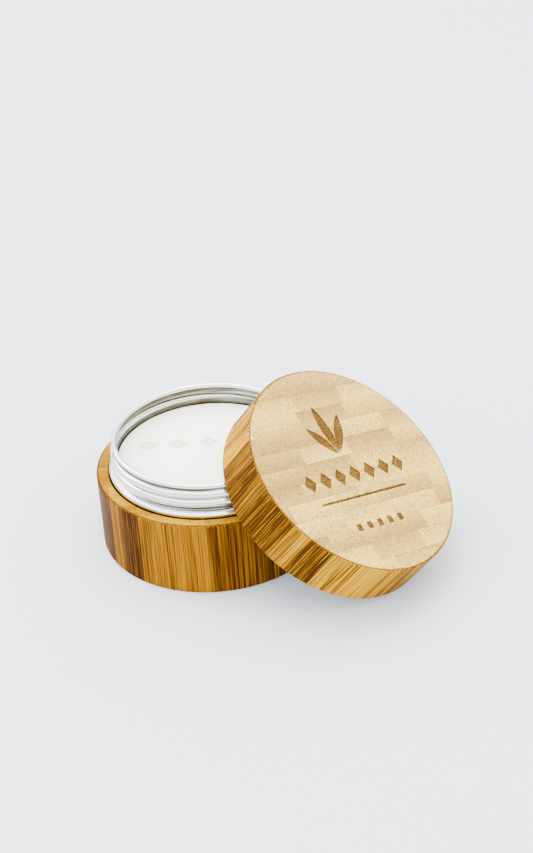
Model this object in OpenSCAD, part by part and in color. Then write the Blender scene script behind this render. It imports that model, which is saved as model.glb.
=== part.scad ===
// Open shaving soap jar: a turned bamboo cup holding a screw-neck aluminium tin with a pressed
// soap puck in it, and its hollow bamboo lid leaning on the tin's rim.
// Millimetres. Origin: centre of the cup's underside. +Z up, +X towards the leaning lid.

/* [Cup] */
// outer radius shared by the cup and the lid
body_r = 38.5; // [30:0.5:50]
// height of the cup, underside to rim
cup_h = 26.6; // [18:0.1:40]
// radius of the turned hollow in the cup and in the lid
bore_r = 34.4; // [26:0.1:46]
// thickness of the cup's floor
cup_floor = 3.2; // [2:0.1:6]
// small bevel on every bamboo edge
bevel = 0.5; // [0.2:0.1:1.5]

/* [Tin] */
// outer radius of the tin below its neck
tin_r = 33.2; // [25:0.1:45]
// sheet thickness of the tin and the cap insert
sheet = 0.5; // [0.3:0.1:0.8]
// height of the tin's rolled rim above the table, to the roll's centre
rim_z = 37.4; // [30:0.1:50]
// radius of the circle along which the rim is rolled
rim_r = 31.6; // [24:0.1:44]
// radius of the roll itself
roll_r = 0.9; // [0.6:0.05:1.5]
// outer radius of the neck between the thread crests
neck_r = 31.8; // [24:0.1:44]
// how far each rolled thread crest stands out from the neck
crest = 1.2; // [0.4:0.1:2]
// distance between thread crests along the axis
pitch = 3.2; // [2:0.1:5]
// number of rolled crests on the neck
crests = 2; // [1:1:3]

/* [Soap] */
// radius of the pressed puck
puck_r = 31; // [20:0.1:42]
// height of the puck's top face above the table
puck_top = 30.7; // [20:0.1:40]
// rounding of the puck's upper edge
puck_round = 0.7; // [0.4:0.1:3]
// depth of the plain lozenges stamped in the puck's face
stamp = 0.3; // [0.1:0.1:1]

/* [Lid] */
// thickness of the lid
lid_h = 17.8; // [14:0.1:26]
// depth of the hollow turned in its underside
hollow_h = 14.4; // [8:0.1:22]
// lean of the lid from level, in degrees
lean = 36.6; // [0:0.1:60]
// where the centre of the lid's open face stands, along +X
lean_x = 43; // [30:0.1:80]
// how far the cap insert's skirt stays back from the lid's open face
skirt_back = 1.8; // [0.5:0.1:3]
// thickness of the foam seal disc
seal_h = 1; // [0.6:0.1:2]
// depth of the plain marks burnt into the lid's face
engrave = 0.3; // [0.1:0.1:0.8]

/* [Hidden] */
$fn = 96;
glue = 0.4;
gap = 0.3;
tin_base = cup_floor + glue;
bead_z = cup_h + 0.7;
bead_r = tin_r + 0.9;
first_crest = cup_h + 4.3;
// the marks' lines turned on the lid's face and on the puck
mark_turn = 64.5;
puck_turn = 29.2;
insert_r = bore_r - 0.5;
insert_top = hollow_h - glue;
insert_in = insert_top - sheet;
lean_z = body_r * sin(lean) + 0.02;

// carries a lid piece from its own level frame, open face down at zero, to where it leans
module leaning() translate([lean_x, 0, lean_z]) rotate([0, lean, 0]) children();

// half section of one rolled thread crest, standing out from radius r at height z
module crest_section(r, z, out, half) {
    polygon([[r - 0.2, z - half - 0.1], [r + out * 0.55, z - half * 0.55], [r + out * 0.92, z - half * 0.22],
             [r + out, z], [r + out * 0.92, z + half * 0.22], [r + out * 0.55, z + half * 0.55],
             [r - 0.2, z + half + 0.1]]);
}

// the tin's outer half section, t millimetres inside its outer skin
module tin_section(t) {
    polygon([[0, tin_base + t], [tin_r - 2 - t * 0.6, tin_base + t],
             [tin_r - 0.6 - t, tin_base + 0.6 + t * 0.6],
             [tin_r - t, tin_base + 2 + t * 0.6], [tin_r - t, bead_z - 1.2 - t * 0.4],
             [bead_r - t, bead_z - 0.6], [bead_r - t, bead_z + 0.3],
             [bead_r - 0.5 - t, bead_z + 0.8 - t * 0.6],
             [neck_r + 0.3 - t, bead_z + 1.1 - t * 0.6], [neck_r - t, bead_z + 1.5 - t * 0.4],
             [neck_r - t, rim_z - 1.2], [rim_r + 0.2 - t, rim_z - 0.4], [rim_r + 0.2 - t, rim_z + t * 4],
             [0, rim_z + t * 4]]);
    for (i = [0 : crests - 1])
        crest_section(neck_r - t, first_crest + i * pitch, crest, pitch * 0.42);
}

// turned bamboo cup with its flat floor
module bamboo_cup() color([0.80, 0.60, 0.30]) rotate_extrude()
    polygon([[0, 0], [body_r - bevel, 0], [body_r, bevel], [body_r, cup_h - bevel], [body_r - bevel, cup_h],
             [bore_r + bevel, cup_h], [bore_r, cup_h - bevel], [bore_r, cup_floor], [0, cup_floor]]);

// disc of glue that holds the tin on the cup's floor
module cup_glue() color([0.86, 0.83, 0.72])
    translate([0, 0, cup_floor]) cylinder(h = glue, r = tin_r - 4);

// screw-neck aluminium tin: shallow pot, bead over the cup's mouth, rolled thread, rolled rim
module tin_pot() color([0.80, 0.81, 0.83]) rotate_extrude() {
    difference() {
        tin_section(0);
        tin_section(sheet);
    }
    translate([rim_r, rim_z]) circle(r = roll_r, $fn = 48);
}

// a row of plain lozenges, centred on the origin
module lozenge_row(count, step, wide, tall)
    for (i = [0 : count - 1]) translate([(i - (count - 1) / 2) * step, 0])
        polygon([[-wide / 2, 0], [0, -tall / 2], [wide / 2, 0], [0, tall / 2]]);

// a leaf outline lying along +X, made where two circles cross
module leaf(long, wide) {
    arc = (long * long + wide * wide) / (4 * wide);
    intersection() {
        translate([long / 2, arc - wide / 2]) circle(r = arc);
        translate([long / 2, wide / 2 - arc]) circle(r = arc);
    }
}

// plain marks on the lid's face: sprig of three leaves, row of lozenges, thin bar, row of small squares
module lid_marks() rotate(mark_turn) {
    for (l = [[62, 15, 3.4, -1, 6.8], [93, 18.5, 3.8, -1.6, 6.2], [124, 13.5, 3.2, -2.3, 6]])
        translate([l[3], l[4]]) rotate(l[0]) leaf(l[1], l[2]);
    translate([-0.8, -2.2]) lozenge_row(7, 6.6, 4.8, 6.4);
    translate([-1.8, -10.2]) square([38, 0.8], center = true);
    for (i = [-2 : 2]) translate([-2.2 + i * 4.6, -20.6]) square([2, 2.5], center = true);
}

// pressed soap puck, upper edge rounded, with a row of plain lozenges stamped in its face
module soap_puck() color([0.94, 0.94, 0.92]) difference() {
    puck_blank();
    translate([0, 0, puck_top - stamp]) linear_extrude(stamp + 1)
        rotate(puck_turn) translate([0, 6]) lozenge_row(5, 10.4, 7.6, 6.4);
}

// the puck before it is stamped
module puck_blank() rotate_extrude()
    polygon([[0, tin_base + sheet + gap], [puck_r - 1.2, tin_base + sheet + gap],
             [puck_r, tin_base + sheet + gap + 1.2], [puck_r, puck_top - puck_round],
             for (a = [15 : 15 : 75])
                 [puck_r - puck_round * (1 - cos(a)), puck_top - puck_round * (1 - sin(a))],
             [puck_r - puck_round, puck_top], [0, puck_top]]);

// turned bamboo lid: hollow underside, plain marks burnt into its face
module bamboo_lid() color([0.86, 0.70, 0.42]) leaning() difference() {
    rotate_extrude() polygon([[0, hollow_h], [bore_r, hollow_h], [bore_r, bevel],
                              [bore_r + bevel, 0], [body_r - bevel, 0],
             [body_r, bevel], [body_r, lid_h - bevel], [body_r - bevel, lid_h], [0, lid_h]]);
    translate([0, 0, lid_h - engrave]) linear_extrude(engrave + 1) lid_marks();
}

// disc of glue that holds the cap insert in the lid
module lid_glue() color([0.86, 0.83, 0.72]) leaning()
    translate([0, 0, insert_top]) cylinder(h = glue, r = insert_r - 4);

// aluminium cap insert: flat top, skirt with inward rolled thread, hemmed lower edge
module lid_liner() color([0.78, 0.79, 0.81]) leaning() rotate_extrude() {
    polygon([[0, insert_in], [insert_r - sheet - 0.6, insert_in], [insert_r - sheet, insert_in - 0.6],
             [insert_r - sheet, skirt_back], [insert_r, skirt_back], [insert_r, insert_top - 0.8],
             [insert_r - 0.8, insert_top], [0, insert_top]]);
    for (i = [0 : crests - 1]) translate([0, 5 + i * pitch])
        polygon([[insert_r - sheet + 0.2, 1.2], [insert_r - sheet - 0.7, 0.35], [insert_r - sheet - 0.8, 0],
                 [insert_r - sheet - 0.7, -0.35], [insert_r - sheet + 0.2, -1.2]]);
    translate([insert_r - 0.5, skirt_back + 0.5]) circle(r = 0.5, $fn = 24);
}

// loose foam seal disc under the insert's flat top
module lid_seal() color([0.95, 0.95, 0.93]) leaning()
    translate([0, 0, insert_in - gap - seal_h]) cylinder(h = seal_h, r = insert_r - sheet - 1.4);

bamboo_cup();
cup_glue();
tin_pot();
soap_puck();
bamboo_lid();
lid_glue();
lid_liner();
lid_seal();
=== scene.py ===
"""Open jar of solid shaving soap: bamboo cup, threaded tin, pressed puck, and the lid leaning on the rim."""

import math

import bpy
import numpy as np
from mathutils import Matrix, Vector


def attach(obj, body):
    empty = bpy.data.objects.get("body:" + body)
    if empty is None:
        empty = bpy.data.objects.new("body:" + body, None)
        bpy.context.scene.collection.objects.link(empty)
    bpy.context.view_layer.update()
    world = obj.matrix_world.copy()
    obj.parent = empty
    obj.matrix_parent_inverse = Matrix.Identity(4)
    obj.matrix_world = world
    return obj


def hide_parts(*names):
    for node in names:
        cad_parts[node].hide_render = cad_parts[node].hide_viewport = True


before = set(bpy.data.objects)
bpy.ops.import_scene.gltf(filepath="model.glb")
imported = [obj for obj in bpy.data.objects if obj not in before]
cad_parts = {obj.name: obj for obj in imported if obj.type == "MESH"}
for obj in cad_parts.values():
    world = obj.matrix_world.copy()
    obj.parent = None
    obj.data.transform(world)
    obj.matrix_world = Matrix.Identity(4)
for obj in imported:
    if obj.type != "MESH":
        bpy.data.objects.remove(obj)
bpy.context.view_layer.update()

# ---------------------------------------------------------------- sizes, in millimetres
MM = 0.001
BODY_R, BORE_R = 38.5, 34.4
CUP_H, CUP_FLOOR, CUP_ROUND = 26.6, 3.2, 0.7
LID_H, HOLLOW_H, LID_ROUND = 17.8, 14.4, 0.6
TIN_BASE, TIN_R, SHEET = 3.6, 33.2, 0.5
RIM_R, RIM_Z, ROLL_R = 31.6, 37.4, 0.9
NECK_R, CREST, PITCH = 31.8, 1.2, 3.2
PUCK_R, PUCK_TOP, PUCK_LOW, PUCK_ROUND = 31.0, 30.7, 4.4, 0.7
LEAN, LEAN_X = math.radians(36.6), 43.0
INSERT_R, SKIRT, INSERT_TOP = 33.9, 1.8, 14.0
ENGRAVE = 0.3

# the lid's own frame: open face at zero, turned face at LID_H, local X downhill
LID_PLACE = Matrix.Translation((LEAN_X, 0, BODY_R * math.sin(LEAN) + 0.02)) @ Matrix.Rotation(LEAN, 4, "Y")
LEVEL = Matrix.Identity(4)


# ---------------------------------------------------------------- meshes
def added(name, data):
    """A new object, linked into the scene."""
    obj = bpy.data.objects.new(name, data)
    bpy.context.scene.collection.objects.link(obj)
    return obj


def carry(mesh, place):
    """Moves a mesh by a placement whose distances are in millimetres."""
    move = place.copy()
    move.translation = move.translation * MM
    mesh.transform(move)


def set_values(mesh, **values):
    """Stores a number or a vector for each point of a mesh, in place of any earlier one of that name."""
    for key, value in values.items():
        old = mesh.attributes.get(key)
        if old:
            mesh.attributes.remove(old)
        value = np.asarray(value, np.float32)
        kind, field = ("FLOAT_VECTOR", "vector") if value.ndim == 2 else ("FLOAT", "value")
        mesh.attributes.new(key, kind, "POINT").data.foreach_set(field, value.ravel())


def mesh_object(name, points, faces, place=LEVEL, smooth=True, **values):
    """A piece whose place is in its mesh. The points are in millimetres in its own frame, and the values are
    stored on them."""
    points = np.asarray(points, float)
    mesh = bpy.data.meshes.new(name)
    mesh.from_pydata([tuple(p) for p in points * MM], [], [tuple(f) for f in faces])
    mesh.validate()
    volume = sum(f.center.dot(f.normal) * f.area for f in mesh.polygons)
    if volume < 0:
        mesh.flip_normals()
    set_values(mesh, own=points, **values)
    carry(mesh, place)
    if smooth:
        mesh.polygons.foreach_set("use_smooth", [True] * len(mesh.polygons))
    return added(name, mesh)


def rounded(corners, steps=5):
    """A closed half section from (radius, height, fillet) corners, each fillet turned into an arc."""
    path = []
    for i, (x, y, fillet) in enumerate(corners):
        here = np.array([x, y], float)
        if fillet <= 0:
            path.append(here)
            continue
        before = np.array(corners[i - 1][:2], float) - here
        after = np.array(corners[(i + 1) % len(corners)][:2], float) - here
        before, after = before / np.linalg.norm(before), after / np.linalg.norm(after)
        half = math.acos(np.clip(before @ after, -1, 1)) / 2
        reach = fillet / math.tan(half)
        middle = (before + after) / np.linalg.norm(before + after)
        centre = here + middle * fillet / math.sin(half)
        a, b = here + before * reach - centre, here + after * reach - centre
        for t in np.linspace(0, 1, steps):
            turn = a * (1 - t) + b * t
            path.append(centre + turn / np.linalg.norm(turn) * fillet)
    return np.array(path)


def refined(path, longest):
    """The same section with its long straight runs cut into shorter ones."""
    out = []
    for a, b in zip(path, np.roll(path, -1, 0)):
        if a[0] < 1e-6 and b[0] < 1e-6:
            out.append(a)
            continue
        cuts = max(1, math.ceil(np.linalg.norm(b - a) / longest))
        out.extend(a + (b - a) * k / cuts for k in range(cuts))
    return np.array(out)


def lathe(path, steps=256, shape=None):
    """Surface of revolution of a section that starts and ends on the axis, or closes on itself.
    shape(points, index along the path, angle) may move the points."""
    open_run = path[0][0] < 1e-6 and path[-1][0] < 1e-6
    angle = np.linspace(0, 2 * math.pi, steps, endpoint=False)
    ring = path[1:-1] if open_run else path
    r, z = ring[:, 0][:, None], ring[:, 1][:, None]
    points = np.stack([r * np.cos(angle), r * np.sin(angle), z + 0 * angle], -1)
    if shape is not None:
        points = shape(points, ring, angle)
    points = points.reshape(-1, 3)
    rows = len(ring)
    faces = []
    for i in range(rows - (1 if open_run else 0)):
        j = (i + 1) % rows
        for k in range(steps):
            m = (k + 1) % steps
            faces.append((i * steps + k, j * steps + k, j * steps + m, i * steps + m))
    if open_run:
        first, last = len(points), len(points) + 1
        points = np.vstack([points, [0, 0, path[0][1]], [0, 0, path[-1][1]]])
        for k in range(steps):
            m = (k + 1) % steps
            faces.append((first, k, m))
            faces.append((last, (rows - 1) * steps + m, (rows - 1) * steps + k))
    return points, faces


def widened(points, scale):
    """The points moved away from the axis, or towards it, in the given ratio."""
    points[..., 0] *= scale
    points[..., 1] *= scale
    return points


def smoothstep(low, high, x):
    """0 at low, 1 at high, smooth between; low may be the larger."""
    t = np.clip((x - low) / (high - low), 0, 1)
    return t * t * (3 - 2 * t)


def end_weight(points, fillet, floor):
    """1 where a turned bamboo surface shows end grain, 0 where it shows long grain."""
    r, z = np.hypot(points[:, 0], points[:, 1]), points[:, 2]
    outer = smoothstep(BODY_R - fillet, BODY_R - fillet * 0.3, r)
    wall = (np.abs(r - BORE_R) < 0.05) & (np.abs(z - floor) > 0.3)
    return np.where(wall, 0.0, 1 - outer)


def block(points, turn, slip):
    """Places in the glued block that a piece was turned from: across, up the stack, along the grain."""
    c, s = math.cos(turn), math.sin(turn)
    x, y, z = points.T
    return np.stack([c * x + s * y + slip[0], -s * x + c * y + slip[1], z + slip[2]], -1)


# ---------------------------------------------------------------- shader expressions
class Sock:
    """A shader value. Arithmetic on it adds Math nodes."""

    def __init__(self, paint, socket):
        self.paint, self.socket = paint, socket

    def math(self, operation, *others, clamp=False):
        node = self.paint.tree.nodes.new("ShaderNodeMath")
        node.operation, node.use_clamp = operation, clamp
        for slot, value in zip(node.inputs, (self, *others)):
            self.paint.feed(slot, value)
        return Sock(self.paint, node.outputs[0])

    def __add__(self, other):
        return self.math("ADD", other)

    def __mul__(self, other):
        return self.math("MULTIPLY", other)

    def __sub__(self, other):
        return self.math("SUBTRACT", other)

    def __truediv__(self, other):
        return self.math("DIVIDE", other)

    def __rsub__(self, other):
        return self.math("MULTIPLY", -1).math("ADD", other)

    __radd__, __rmul__ = __add__, __mul__

    def clip(self):
        return self.math("ADD", 0, clamp=True)

    def step(self, low, high):
        """0 below low, 1 above high, smooth between; low may be the larger."""
        t = ((self - low) / (high - low)).clip()
        return t * t * (3 - 2 * t)


class Paint:
    """One material and the nodes in it."""

    def __init__(self, name):
        self.material = bpy.data.materials.new(name)
        self.material.use_nodes = True
        self.tree = self.material.node_tree
        self.shader = next(n for n in self.tree.nodes if n.type == "BSDF_PRINCIPLED")

    def feed(self, slot, value):
        if isinstance(value, Sock):
            self.tree.links.new(value.socket, slot)
        elif isinstance(value, (tuple, list)) and len(value) == 3 and slot.type == "RGBA":
            slot.default_value = (*value, 1)
        else:
            slot.default_value = value

    def node(self, kind, settings=None, out=0, **inputs):
        node = self.tree.nodes.new("ShaderNode" + kind)
        for key, value in (settings or {}).items():
            setattr(node, key, value)
        for key, value in inputs.items():
            slot = node.inputs[int(key[1:])] if key[0] == "_" else node.inputs[key.replace("_", " ")]
            self.feed(slot, value)
        return Sock(self, node.outputs[out])

    def attribute(self, name, out="Vector"):
        return self.node("Attribute", {"attribute_name": name}, out=out)

    def split(self, vector):
        node = self.tree.nodes.new("ShaderNodeSeparateXYZ")
        self.feed(node.inputs[0], vector)
        return [Sock(self, o) for o in node.outputs]

    def join(self, x=0.0, y=0.0, z=0.0):
        return self.node("CombineXYZ", X=x, Y=y, Z=z)

    def noise(self, vector, scale=1.0, detail=2.0, roughness=0.5, out=0):
        return self.node("TexNoise", out=out, Vector=vector, Scale=scale, Detail=detail, Roughness=roughness)

    def random(self, vector, out=0):
        return self.node("TexWhiteNoise", {"noise_dimensions": "3D"}, out=out, Vector=vector)

    def mix(self, factor, a, b, blend="MIX"):
        node = self.tree.nodes.new("ShaderNodeMix")
        node.data_type, node.blend_type, node.clamp_factor = "RGBA", blend, True
        for slot, value in zip((node.inputs[0], node.inputs[6], node.inputs[7]), (factor, a, b)):
            self.feed(slot, value)
        return Sock(self, node.outputs[2])

    def ramp(self, value, *stops):
        """Colour along a run of (place, colour) stops."""
        node = self.tree.nodes.new("ShaderNodeValToRGB")
        ramp = node.color_ramp
        while len(ramp.elements) < len(stops):
            ramp.elements.new(0.5)
        for element, (place, colour) in zip(ramp.elements, stops):
            element.position, element.color = place, (*colour, 1)
        self.feed(node.inputs[0], value)
        return Sock(self, node.outputs[0])

    def bump(self, height, strength, distance, under=None):
        """Relief of a height given in units of distance millimetres."""
        inputs = {"Strength": strength, "Distance": distance * MM, "Height": height}
        if under is not None:
            inputs["Normal"] = under
        return self.node("Bump", **inputs)

    def finish(self, **inputs):
        for key, value in inputs.items():
            self.feed(self.shader.inputs[key.replace("_", " ")], value)
        return self.material


def rgb(*values):
    """Linear colour from everyday 0 to 255 values."""
    return tuple(((v / 255 + 0.055) / 1.055) ** 2.4 if v > 10 else v / 3294 for v in values)


# thickness and width of one bamboo strip
ROW, BRICK = 6.3, 21.0
SCORCHED = (0.060, 0.022, 0.002)
# olive grey of the painted shade in the tin's grooves, under its rim and inside it
GROOVE_SHADE = (0.060, 0.054, 0.026)


def bamboo(name, face_light, face_dark, side_light, side_mid, side_dark, speckle=0.5, burn=0.0):
    """Laminated bamboo. Strips ROW thick and BRICK wide lie in rows, each with its own tone; fibres run along
    the grain, so they are dots on end grain and streaks on long grain."""
    p = Paint(name)
    u, v, w = p.split(p.attribute("grain"))
    turned = p.attribute("end", "Fac")
    row_f = v / ROW
    row = row_f.math("FLOOR")
    shift = p.random(p.join(row * 7.31, 3.7, 1.9))
    brick_f = u / BRICK + shift * 5 + row * 0.37
    brick = brick_f.math("FLOOR")
    key = p.join(row + 0.5, brick + 0.5, 0.3)
    tone = p.random(key)
    tone2 = p.random(p.join(row + 0.5, brick + 0.5, 7.3))
    up = row_f - row
    flip = tone2.step(0.49, 0.51)
    skin = up * flip + (1 - up) * (1 - flip)
    across = brick_f - brick
    joint_v = up.math("MINIMUM", 1 - up) * ROW
    joint_u = across.math("MINIMUM", 1 - across) * BRICK
    joint = joint_v.math("MINIMUM", joint_u).step(0.16, 0.03)

    # fibre bundles seen end on: a fine dotting, closer and darker towards the outer skin of each strip
    sway = p.noise(p.join(u * 0.35, v * 0.35, w * 0.03), 1.0, 2)
    dots_at = p.join(u * 1.55 + sway * 1.2, v * 1.9, w * 0.02 + tone * 40)
    dots = p.node(
        "TexVoronoi", {"feature": "SMOOTH_F1"}, Vector=dots_at, Scale=1.0, Smoothness=0.35, Randomness=0.85)
    dot = dots.step(0.52, 0.16) * (0.35 + 0.65 * skin)
    mottle = p.noise(p.join(u * 0.55, v * 0.8, tone * 60), 1.0, 3, 0.6)
    fleck = p.noise(p.join(u * 2.3, v * 2.6, tone * 30), 1.0, 2, 0.65)
    # the same fibres seen from the side: long streaks
    fine = p.noise(p.join(u * 2.1, v * 2.1, w * 0.018 + tone * 50), 1.0, 3, 0.7)
    hair = p.noise(p.join(u * 4.2, v * 4.2, w * 0.04 + tone * 20), 1.0, 2, 0.6)
    broad = p.noise(p.join(u * 0.7, v * 0.7, w * 0.015 + tone * 90), 1.0, 2, 0.5)

    shade = tone.step(0.1, 0.9) * 0.62 + (mottle - 0.5) * 0.8 + (skin - 0.5) * 0.35 + 0.2
    face = p.mix(shade, face_light, face_dark)
    face = p.mix(dot * speckle, face, tuple(c * 0.46 for c in face_dark))
    face = p.mix(fleck.step(0.53, 0.66) * speckle, face, tuple(c * 0.5 for c in face_dark))
    face = p.mix(fleck.step(0.44, 0.30) * 0.35, face, face_light)
    face = p.mix(joint * 0.4, face, tuple(c * 0.6 for c in face_dark))

    level = 0.56 + (tone - 0.5) * 0.72 + (fine - 0.5) * 2.6 + (broad - 0.5) * 0.5
    side = p.ramp(level, (0.10, side_light), (0.45, side_mid), (0.88, side_dark))
    side = p.mix(hair.step(0.53, 0.63) * (0.4 + 0.5 * tone2), side, tuple(c * 0.55 for c in side_dark))
    side = p.mix(hair.step(0.45, 0.33) * 0.6, side, side_light)
    side = p.mix(joint * 0.75, side, tuple(c * 0.6 for c in side_dark))

    end = (turned + (hair - 0.5) * (turned * (1 - turned)) * 6).step(0.25, 0.75)
    colour = p.mix(end, side, face)
    # turned edges are coloured darker than either face
    edge = (turned.step(0.998, 0.8) * turned.step(0.002, 0.2)).clip()
    nibble = p.noise(p.join(u * 1.6, v * 1.6, w * 1.6), 1.0, 2, 0.7)
    edge_tone = p.mix(hair.step(0.35, 0.6), tuple(c * 0.8 for c in side_mid), tuple(c * 0.8 for c in side_dark))
    colour = p.mix(edge * (0.6 + nibble.step(0.42, 0.58) * 0.4), colour, edge_tone)
    # torn fibres along the outer edge of the end grain
    x, y, _ = p.split(p.attribute("own"))
    radius = (x * x + y * y).math("SQRT") + (nibble - 0.5) * 1.5
    torn = radius.step(BODY_R - 0.95, BODY_R - 0.5) * end
    colour = p.mix(torn * 0.9, colour, tuple(c * 0.8 for c in side_mid))
    if burn:
        scorch = p.noise(p.join(u * 1.2, v * 5.0, w), 1.0, 3, 0.7)
        colour = p.mix(burn * (0.62 + scorch.step(0.72, 0.40) * 0.38), colour, SCORCHED)
    relief = (1 - end) * (fine * 0.6 + hair * 0.4) + end * (dot * -0.6 + fleck * -0.35) - joint * 0.5
    return p.finish(
        Base_Color=colour,
        Roughness=0.42 + 0.16 * end + 0.12 * fleck,
        Normal=p.bump(relief, 0.55, 0.06),
        Specular_IOR_Level=0.02,
    )


def spun_metal(name, colour, rough, lines):
    """Thin spun aluminium: fine lines round the axis, faint stains, tiny scratches."""
    p = Paint(name)
    x, y, z = p.split(p.attribute("own"))
    radius = (x * x + y * y).math("SQRT")
    spin = p.noise(p.join(radius * 3.2, z * 3.2, 0.0), 1.0, 4, 0.7)
    fine = p.noise(p.join(radius * 14, z * 14, x * 0.05), 1.0, 2, 0.6)
    cloud = p.noise(p.join(x * 0.12, y * 0.12, z * 0.3), 1.0, 3, 0.55)
    nick = p.noise(p.join(x * 0.6 + y * 0.9, y * 0.5, z * 4.5), 1.0, 2, 0.6).step(0.70, 0.80)
    shade = (spin - 0.5) * 0.10 + (cloud - 0.5) * 0.12 + 0.5
    base = p.mix(shade, tuple(c * 0.88 for c in colour), colour)
    # painted shade: the tin darkens to an olive grey in its thread grooves, under the rolled rim, above the
    # bead and inside
    base = p.mix(p.attribute("groove", "Fac") * (0.85 + cloud * 0.3), base, GROOVE_SHADE)
    return p.finish(
        Base_Color=base,
        Metallic=1.0,
        Roughness=rough + (spin - 0.5) * 0.12 + nick * 0.12 + cloud * 0.05,
        Normal=p.bump(spin * 0.3 + fine * 0.7 + nick * -0.5, lines, 0.003),
    )


def pressed_soap():
    """Hard white soap: waxy, slightly translucent, with a powdery, faintly mottled face."""
    p = Paint("pressed soap")
    x, y, z = p.split(p.attribute("own"))
    at = p.join(x, y, z)
    cloud = p.noise(at, 0.10, 3, 0.55)
    smear = p.noise(p.join(x * 0.25, y * 0.9, z * 0.5), 1.0, 3, 0.6)
    grain = p.noise(at, 2.6, 3, 0.6)
    pore = p.noise(at, 0.9, 4, 0.7).step(0.66, 0.76)
    low = p.attribute("stamp", "Fac")
    base = p.mix(cloud * 0.55 + smear * 0.35, rgb(247, 247, 235), rgb(237, 237, 223))
    # pores are greyer, and the stamped marks get painted shade in their hollows
    base = p.mix(pore * 0.25 + low, base, rgb(196, 196, 182))
    return p.finish(
        Base_Color=base,
        Roughness=0.46 + 0.18 * smear + 0.1 * pore,
        Subsurface_Weight=0.12,
        Subsurface_Radius=(1.0, 0.92, 0.8),
        Subsurface_Scale=0.0015,
        Specular_IOR_Level=0.4,
        Normal=p.bump(grain * 0.25 + smear * 0.5 - pore * 0.6, 0.5, 0.07),
    )


def soft_foam():
    """White closed-cell foam, finely pitted."""
    p = Paint("seal foam")
    x, y, z = p.split(p.attribute("own"))
    cells = p.node("TexVoronoi", Vector=p.join(x, y, z), Scale=1.9)
    worn = p.noise(p.join(x * 0.15, y * 0.15, z), 1.0, 3)
    base = p.mix(cells.step(0.1, 0.6) * 0.5 + worn * 0.3, rgb(226, 225, 219), rgb(243, 243, 240))
    return p.finish(Base_Color=base, Roughness=0.78 + 0.12 * worn, Normal=p.bump(cells, 0.4, 0.08))


def dried_glue():
    """Pale, slightly swirled glue."""
    p = Paint("dried glue")
    x, y, z = p.split(p.attribute("own"))
    swirl = p.noise(p.join(x * 0.2, y * 0.2, z), 1.0, 3)
    return p.finish(
        Base_Color=p.mix(swirl, rgb(214, 205, 176), rgb(233, 227, 206)), Roughness=0.35 + 0.2 * swirl,
        Normal=p.bump(swirl, 0.4, 0.1),
    )


# linear colours: end grain light and dark, then long grain light, middle and dark
CUP_TONES = (
    (0.46, 0.235, 0.004), (0.20, 0.082, 0.002),
    (0.30, 0.125, 0.0008), (0.125, 0.043, 0.0005), (0.028, 0.008, 0.0003))
LID_TONES = (
    (0.78, 0.52, 0.12), (0.33, 0.190, 0.052),
    (0.62, 0.310, 0.001), (0.20, 0.076, 0.0006), (0.042, 0.0125, 0.0003))
cup_bamboo = bamboo("cup bamboo", *CUP_TONES, speckle=1.0)
lid_bamboo = bamboo("lid bamboo", *LID_TONES, speckle=0.95)
burnt_bamboo = bamboo("burnt bamboo", *LID_TONES, burn=1.0)
tin_metal = spun_metal("tin aluminium", rgb(232, 233, 235), 0.17, 0.35)
insert_metal = spun_metal("insert aluminium", rgb(232, 233, 235), 0.26, 0.4)
soap = pressed_soap()
foam = soft_foam()
glue = dried_glue()


def wear(obj, body, material, slot, *nodes):
    """Gives a piece its material, its body and the CAD nodes it stands for."""
    if not obj.data.materials:
        obj.data.materials.append(material)
    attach(obj, body)
    if nodes:
        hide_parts(*nodes)
    return obj


# ---------------------------------------------------------------- bamboo cup
cup_path = refined(
    rounded([
        (0, 0, 0), (BODY_R, 0, CUP_ROUND), (BODY_R, CUP_H, CUP_ROUND), (BORE_R, CUP_H, 0.4),
        (BORE_R, CUP_FLOOR, 0.5), (0, CUP_FLOOR, 0),
    ], 7), 2.0)
points, faces = lathe(cup_path, 288)
cup = mesh_object(
    "bamboo_cup_turned", points, faces,
    grain=block(points, 0.62, (4.0, 2.1, 3.0)), end=end_weight(points, CUP_ROUND, CUP_FLOOR))
wear(cup, "jar", cup_bamboo, "bamboo", "bamboo_cup")


# ---------------------------------------------------------------- tin: rolled rim, helical thread, bead
THREAD_LOW, THREAD_TURNS, THREAD_START = CUP_H + 3.0, 2.05, math.radians(118)


def thread_height(z, angle):
    """How far the rolled thread stands out at a height and angle: one ridge winding up the neck."""
    out = np.zeros(np.broadcast(z, angle).shape)
    for i in range(4):
        turns = i + ((angle - THREAD_START) % (2 * math.pi)) / (2 * math.pi)
        fade = smoothstep(0, 0.10, turns) * smoothstep(THREAD_TURNS, THREAD_TURNS - 0.14, turns)
        away = np.abs(z - (THREAD_LOW + PITCH * turns)) / (PITCH * 0.5)
        out = np.maximum(out, fade * (1 - np.clip(away, 0, 1) ** 2.3) ** 0.8)
    return CREST * out


bead, BEAD_R = CUP_H + 0.7, TIN_R + 0.9
wall_top = RIM_Z - 0.75
skin = rounded([
    (0, TIN_BASE, 0), (TIN_R - 0.1, TIN_BASE, 1.6), (TIN_R, bead - 1.1, 0.4), (BEAD_R, bead - 0.6, 0.3),
    (BEAD_R, bead + 0.3, 0.5), (BEAD_R - 0.5, bead + 1.0, 0.5), (NECK_R + 0.25, bead + 1.5, 0.45),
    (NECK_R, bead + 2.4, 0.5), (NECK_R - 0.02, wall_top, 0)], 6)
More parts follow.
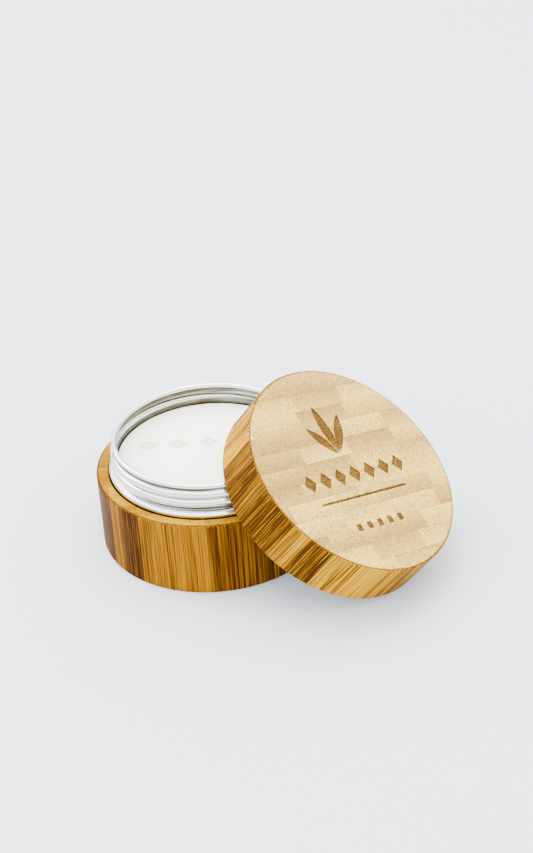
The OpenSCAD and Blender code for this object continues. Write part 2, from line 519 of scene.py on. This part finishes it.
# the sheet's inner skin lies one thickness inside the outer one
run = np.gradient(skin, axis=0)
inward = np.stack([-run[:, 1], run[:, 0]], -1) / np.linalg.norm(run, axis=1)[:, None]
inner_skin = skin + inward * SHEET
inner_skin[0] = (0, TIN_BASE + SHEET)
curl = np.linspace(-0.30 * math.pi, 1.16 * math.pi, 26)
roll = np.stack([RIM_R + ROLL_R * np.cos(curl), RIM_Z + ROLL_R * np.sin(curl)], -1)
NECK_STEP, WALL_STEP = 0.26, 2.5
whole = np.vstack([skin, roll, inner_skin[::-1]])
tin_path = [whole[0]]
for a, b in zip(whole, whole[1:]):
    # short steps where the thread is rolled in, long ones elsewhere
    longest = NECK_STEP if min(a[1], b[1]) > bead + 0.9 else WALL_STEP
    cuts = math.ceil(np.linalg.norm(b - a) / longest)
    tin_path.extend(a + (b - a) * k / cuts for k in range(1, cuts + 1))
tin_path = np.array(tin_path)
# near the axis only the two end points stay
tin_path = tin_path[(tin_path[:, 0] > 0.2) | (np.arange(len(tin_path)) % (len(tin_path) - 1) == 0)]


def with_thread(points, ring, angle):
    """Pushes the neck's outer and inner skins out along the thread."""
    r, z = ring[:, 0][:, None], ring[:, 1][:, None]
    on_wall = (np.abs(r - NECK_R) < 0.35) | (np.abs(r - (NECK_R - SHEET)) < 0.35)
    push = thread_height(z, angle[None, :]) * on_wall * smoothstep(wall_top + 0.4, wall_top - 0.6, z)
    push = np.where(r < NECK_R - SHEET / 2, push * smoothstep(PUCK_TOP + 0.2, PUCK_TOP + 1.6, z), push)
    return widened(points, (r + push) / r)


def shade_in_grooves(points):
    """Painted shade where light doesn't reach: thread grooves, the rim's undercut, above the bead, and
    inside.
    """
    r, z = np.hypot(points[:, 0], points[:, 1]), points[:, 2]
    angle = np.arctan2(points[:, 1], points[:, 0])
    bulge = thread_height(z, angle)
    inside = r < NECK_R - SHEET / 2 + bulge
    on_neck = smoothstep(bead + 1.2, bead + 1.7, z) * smoothstep(wall_top + 0.5, wall_top - 0.1, z)
    outside = on_neck * (1 - smoothstep(0.12, 0.55, bulge / CREST))
    for place, width, depth in ((wall_top + 0.05, 0.4, 1.0), (bead + 1.75, 0.35, 1.0)):
        outside = np.maximum(outside, depth * np.exp(-(((z - place) / width) ** 2)))
    # inside, (height above the puck, depth of shade), drifting round the wall as the thread does
    drift = z + 0.5 * np.sin(angle - 1.2) - PUCK_TOP
    within = np.interp(drift, *np.transpose([
        (0.0, 0.93), (1.6, 0.97), (2.0, 0.2), (2.8, 0.0), (3.15, 0.97), (3.65, 0.97), (3.95, 0.72),
        (4.9, 0.8), (5.2, 1.0), (6.2, 1.0)]))
    tube = np.hypot(r - RIM_R, z - RIM_Z) < ROLL_R + 0.03
    return np.where(tube, smoothstep(RIM_Z - 0.2, RIM_Z - 0.6, z), np.where(inside, within, outside))


points, faces = lathe(tin_path, 320, with_thread)
tin = mesh_object("aluminium_tin", points, faces, groove=shade_in_grooves(points))
wear(tin, "jar", tin_metal, "tin", "tin_pot")


# ---------------------------------------------------------------- soap puck with a stamped row of lozenges
STAMP_TURN, STAMP_OFF, STAMP_STEP = math.radians(29.2), 6.0, 10.4


def stamp_depth(x, y):
    """Depth share of the stamped marks: five plain lozenges in a row across the puck."""
    c, s = math.cos(STAMP_TURN), math.sin(STAMP_TURN)
    a, b = c * x + s * y, -s * x + c * y - STAMP_OFF
    depth = np.zeros_like(a)
    for k in range(-2, 3):
        shape = np.abs(a - k * STAMP_STEP) / 3.8 + np.abs(b) / 3.2
        depth = np.maximum(depth, smoothstep(1.12, 0.72, shape) * (1 - 0.75 * smoothstep(0.5, 0.2, shape)))
    return depth


puck_path = refined(rounded([
    (0, PUCK_LOW, 0), (PUCK_R, PUCK_LOW, 1.2), (PUCK_R, PUCK_TOP, PUCK_ROUND), (0, PUCK_TOP, 0)], 9), 0.34)


def pressed(points, *_):
    """Sinks the stamped marks into the top and waves the rest of it slightly."""
    x, y, z = points[..., 0], points[..., 1], points[..., 2]
    r = np.hypot(x, y)
    top = smoothstep(PUCK_TOP - 0.5, PUCK_TOP - 0.05, z)
    wave = 0.05 * np.sin(x * 0.21 + 1.3) * np.cos(y * 0.17) + 0.03 * np.sin(r * 0.9 + 2 * np.arctan2(y, x))
    points[..., 2] = z - top * (0.32 * stamp_depth(x, y) + 0.08 + wave * smoothstep(PUCK_R, PUCK_R - 3, r))
    return points


points, faces = lathe(puck_path, 360, pressed)
# the stamped marks' depth on the top, kept for the soap's painted shade
stamped = stamp_depth(points[:, 0], points[:, 1]) * (points[:, 2] > PUCK_TOP - 1)
puck = mesh_object("shaving_soap", points, faces, stamp=stamped)
wear(puck, "puck", soap, "soap", "soap_puck")


# ---------------------------------------------------------------- bamboo lid with plain burnt marks
LID_TURN = math.radians(64.5)
lid_path = refined(rounded([
    (0, HOLLOW_H, 0), (BORE_R, HOLLOW_H, 0.6), (BORE_R, 0, 0.4), (BODY_R, 0, LID_ROUND),
    (BODY_R, LID_H, LID_ROUND), (0, LID_H, 0)], 7), 2.0)
points, faces = lathe(lid_path, 288)
lid = mesh_object("bamboo_lid_turned", points, faces, LID_PLACE)
lid.data.materials.append(lid_bamboo)


def flat_cutter(name, outline):
    """A prism cut ENGRAVE deep into the lid's face, from an outline in millimetres."""
    n = len(outline)
    points = [(x, y, LID_H - ENGRAVE) for x, y in outline] + [(x, y, LID_H + 1) for x, y in outline]
    faces = [tuple(range(n))[::-1], tuple(range(n, 2 * n))]
    faces += [(i, (i + 1) % n, n + (i + 1) % n, n + i) for i in range(n)]
    cutter = mesh_object(name, points, faces, smooth=False)
    cutter.data.materials.append(burnt_bamboo)
    return cutter


def row_of(name, unit, count, step):
    """The unit repeated along a straight line by Geometry Nodes, then made a plain mesh."""
    group = bpy.data.node_groups.new(name, "GeometryNodeTree")
    group.interface.new_socket("Geometry", in_out="OUTPUT", socket_type="NodeSocketGeometry")
    make = group.nodes.new
    line, info = make("GeometryNodeMeshLine"), make("GeometryNodeObjectInfo")
    place = make("GeometryNodeInstanceOnPoints")
    real, paint = make("GeometryNodeRealizeInstances"), make("GeometryNodeSetMaterial")
    out = make("NodeGroupOutput")
    line.inputs["Count"].default_value = count
    line.inputs["Start Location"].default_value = Vector(step) * (-(count - 1) / 2 * MM)
    line.inputs["Offset"].default_value = Vector(step) * MM
    info.inputs["Object"].default_value = unit
    paint.inputs["Material"].default_value = burnt_bamboo
    link = group.links.new
    link(line.outputs["Mesh"], place.inputs["Points"])
    link(info.outputs["Geometry"], place.inputs["Instance"])
    link(place.outputs["Instances"], real.inputs["Geometry"])
    link(real.outputs["Geometry"], paint.inputs["Geometry"])
    link(paint.outputs["Geometry"], out.inputs[0])
    holder = added(name, bpy.data.meshes.new(name))
    holder.modifiers.new("row", "NODES").node_group = group
    return made_plain(holder)


def made_plain(obj):
    """Replaces an object's live modifiers by the mesh they make."""
    evaluated = obj.evaluated_get(bpy.context.evaluated_depsgraph_get())
    mesh = bpy.data.meshes.new_from_object(evaluated)
    obj.modifiers.clear()
    obj.data = mesh
    return obj


def spin_outline(outline, turn, move):
    """An outline turned about its origin and then moved."""
    c, s = math.cos(turn), math.sin(turn)
    return [(c * x - s * y + move[0], s * x + c * y + move[1]) for x, y in outline]


def leaf(length, width, n=14):
    """A pointed leaf outline lying along X."""
    t = np.linspace(0, 1, n)
    upper = [(length * k, width / 2 * math.sin(math.pi * k) ** 0.8) for k in t]
    lower = [(length * k, -width / 2 * math.sin(math.pi * k) ** 0.8) for k in t[1:-1][::-1]]
    return upper + lower


ALONG = np.array([math.cos(LID_TURN), math.sin(LID_TURN)])
ACROSS = np.array([math.sin(LID_TURN), -math.cos(LID_TURN)])


def at(along, down):
    """A place on the lid's face, along the marks' lines and down from its centre."""
    return tuple(ALONG * along + ACROSS * down)


marks = []
sprig = [(1.08, 15.0, 3.4, (-1.0, -6.8)), (1.62, 18.5, 3.8, (-1.6, -6.2)), (2.16, 13.5, 3.2, (-2.3, -6.0))]
for k, (turn, length, width, (a, d)) in enumerate(sprig):
    marks.append(flat_cutter(f"sprig_{k}", spin_outline(leaf(length, width), LID_TURN + turn, at(a, d))))
lozenge = [(-2.4, 0), (0, -3.2), (2.4, 0), (0, 3.2)]
unit = flat_cutter("lozenge", spin_outline(lozenge, LID_TURN, at(-0.8, 2.2)))
marks.append(row_of("lozenge_row", unit, 7, (*(ALONG * 6.6), 0)))
bpy.data.objects.remove(unit)
bar = [(-19, -0.4), (19, -0.4), (19, 0.4), (-19, 0.4)]
marks.append(flat_cutter("thin_bar", spin_outline(bar, LID_TURN, at(-1.8, 10.2))))
square = [(-1.0, -1.25), (1.0, -1.25), (1.0, 1.25), (-1.0, 1.25)]
unit = flat_cutter("small_square", spin_outline(square, LID_TURN, at(-2.2, 20.6)))
marks.append(row_of("square_row", unit, 5, (*(ALONG * 4.6), 0)))
bpy.data.objects.remove(unit)
for mark in marks:
    carry(mark.data, LID_PLACE)
    cut = lid.modifiers.new(mark.name, "BOOLEAN")
    cut.operation, cut.solver, cut.object = "DIFFERENCE", "EXACT", mark
    cut.material_mode = "TRANSFER"
made_plain(lid)
for mark in marks:
    bpy.data.objects.remove(mark)
# the cuts add points, so the values are worked out again in the lid's own frame
back = LID_PLACE.inverted()
own = np.array([back @ Vector(q) for q in np.array([v.co for v in lid.data.vertices]) / MM])
set_values(
    lid.data, own=own, grain=block(own, LID_TURN, (3.0, 1.4, 9.0)), end=end_weight(own, LID_ROUND, HOLLOW_H))
wear(lid, "lid", lid_bamboo, "bamboo", "bamboo_lid")


# ---------------------------------------------------------------- cap insert, seal and glue inside the lid
INSERT_THREAD_LOW, INSERT_THREAD_HALF, INSERT_CREST, HEM = 4.0, 1.35, 0.8, 0.95
SEAL_R, SEAL_H = 32.0, 1.0


def insert_thread(points, ring, angle):
    """Pushes the skirt in along a helical thread that matches the tin's."""
    r, z = ring[:, 0][:, None], ring[:, 1][:, None]
    turns = ((angle - 1.0) % (2 * math.pi)) / (2 * math.pi)
    push = np.zeros((len(ring), len(angle)))
    for i in range(2):
        away = np.clip(np.abs(z - (INSERT_THREAD_LOW + PITCH * (i + turns))) / INSERT_THREAD_HALF, 0, 1)
        push = np.maximum(push, 0.5 + 0.5 * np.cos(math.pi * away))
    on_wall = (r > INSERT_R - SHEET - 0.05) & (z > SKIRT + 0.9) & (z < INSERT_TOP - 1.4)
    return widened(points, (r - INSERT_CREST * push * on_wall) / r)


insert_path = refined(rounded([
    (0, INSERT_TOP - SHEET, 0), (INSERT_R - SHEET, INSERT_TOP - SHEET, 0.5),
    (INSERT_R - SHEET, SKIRT + 0.4, 0.2), (INSERT_R - HEM, SKIRT + 0.4, 0.18), (INSERT_R - HEM, SKIRT, 0.18),
    (INSERT_R, SKIRT, 0.2), (INSERT_R, INSERT_TOP, 0.8), (0, INSERT_TOP, 0)], 5), 0.3)
points, faces = lathe(insert_path, 256, insert_thread)
insert = mesh_object("cap_insert", points, faces, LID_PLACE)
wear(insert, "lid", insert_metal, "tin", "lid_liner")

seal_top = INSERT_TOP - SHEET - 0.3
points, faces = lathe(refined(rounded([
    (0, seal_top - SEAL_H, 0), (SEAL_R, seal_top - SEAL_H, 0.3), (SEAL_R, seal_top, 0.3),
    (0, seal_top, 0)], 5), 1.5), 192)
seal = mesh_object("foam_seal", points, faces, LID_PLACE)
wear(seal, "seal", foam, "foam", "lid_seal")


def glue_disc(name, radius, low, high, place, body, node):
    """A flat disc of glue between two heights."""
    path = rounded([(0, low, 0), (radius, low, 0.15), (radius, high, 0.15), (0, high, 0)], 3)
    points, faces = lathe(refined(path, 2.0), 128)
    return wear(mesh_object(name, points, faces, place), body, glue, "glue", node)


glue_disc("tin_glue", TIN_R - 4, CUP_FLOOR, TIN_BASE, LEVEL, "jar", "cup_glue")
glue_disc("insert_glue", INSERT_R - 4, INSERT_TOP, HOLLOW_H, LID_PLACE, "lid", "lid_glue")


# ---------------------------------------------------------------- floor, light and camera
def light(name, size, power, place, aim):
    """A rectangular white area light, aimed at a place."""
    lamp = bpy.data.lights.new(name, "AREA")
    lamp.shape, lamp.size, lamp.size_y = "RECTANGLE", *size
    lamp.energy = power
    obj = added(name, lamp)
    obj.location = place
    obj.rotation_mode = "QUATERNION"
    obj.rotation_quaternion = (Vector(aim) - Vector(place)).to_track_quat("-Z", "Y")


floor_paint = Paint("pale floor")
spot = floor_paint.noise(floor_paint.node("TexCoord", out="Object"), 2.0, 2)
floor_paint.finish(
    Base_Color=floor_paint.mix(spot, (0.55, 0.575, 0.635), (0.57, 0.595, 0.66)),
    Roughness=0.75, Specular_IOR_Level=0.15)
FLOOR_HALF = 8.0
floor_mesh = bpy.data.meshes.new("floor")
corners = [(x * FLOOR_HALF, y * FLOOR_HALF, 0) for x, y in ((-1, -1), (1, -1), (1, 1), (-1, 1))]
floor_mesh.from_pydata(corners, [], [(0, 1, 2, 3)])
floor = added("floor", floor_mesh)
floor_mesh.materials.append(floor_paint.material)

DOME_STRENGTH = 6.0
# studio dome: bright overhead, darker towards the horizon so that the metal has something to reflect
world = bpy.data.worlds.new("studio")
world.use_nodes = True
tree = world.node_tree
where, apart, dome = (tree.nodes.new("ShaderNode" + k) for k in ("TexCoord", "SeparateXYZ", "ValToRGB"))
stops = dome.color_ramp.elements
for element, (place, value) in zip(
        [stops[0], stops[1], stops.new(0.5), stops.new(0.5)],
        ((0.0, 0.05), (1.0, 1.2), (0.2, 0.24), (0.5, 0.95))):
    element.position, element.color = place, (value * 0.975, value * 0.99, value, 1)
tree.links.new(where.outputs["Generated"], apart.inputs[0])
tree.links.new(apart.outputs["Z"], dome.inputs[0])
tree.links.new(dome.outputs[0], tree.nodes["Background"].inputs[0])
tree.nodes["Background"].inputs[1].default_value = DOME_STRENGTH
bpy.context.scene.world = world
light("window", (1.1, 1.1), 22.0, (-0.28, 0.16, 1.25), (0.02, 0, 0.02))
light("left_panel", (0.6, 0.6), 10.0, (-0.85, -0.05, 0.5), (0.0, 0, 0.02))

# where the camera stands: tilt down, roll, turn about the part, and place in units of the cup's radius
CAMERA_PLACE = Vector((0.513, -13.607, 9.537))
PITCH_ANGLE, ROLL, AZIMUTH = math.radians(32.09), math.radians(-3.89), math.radians(29.2)
spin = Matrix.Rotation(AZIMUTH, 3, "Z")
look = spin @ Vector((0, math.cos(PITCH_ANGLE), -math.sin(PITCH_ANGLE)))
level_right = spin @ Vector((1, 0, 0))
level_up = spin @ Vector((0, math.sin(PITCH_ANGLE), math.cos(PITCH_ANGLE)))
right = math.cos(ROLL) * level_right + math.sin(ROLL) * level_up
up = -math.sin(ROLL) * level_right + math.cos(ROLL) * level_up
camera_data = bpy.data.cameras.new("camera")
camera_data.lens, camera_data.sensor_width = 78.13, 36
camera_data.dof.use_dof = False
camera_data.clip_start, camera_data.clip_end = 0.01, 50
camera = added("camera", camera_data)
camera.matrix_world = Matrix((right, up, -look)).transposed().to_4x4()
camera.location = spin @ CAMERA_PLACE * BODY_R * MM
bpy.context.scene.camera = camera
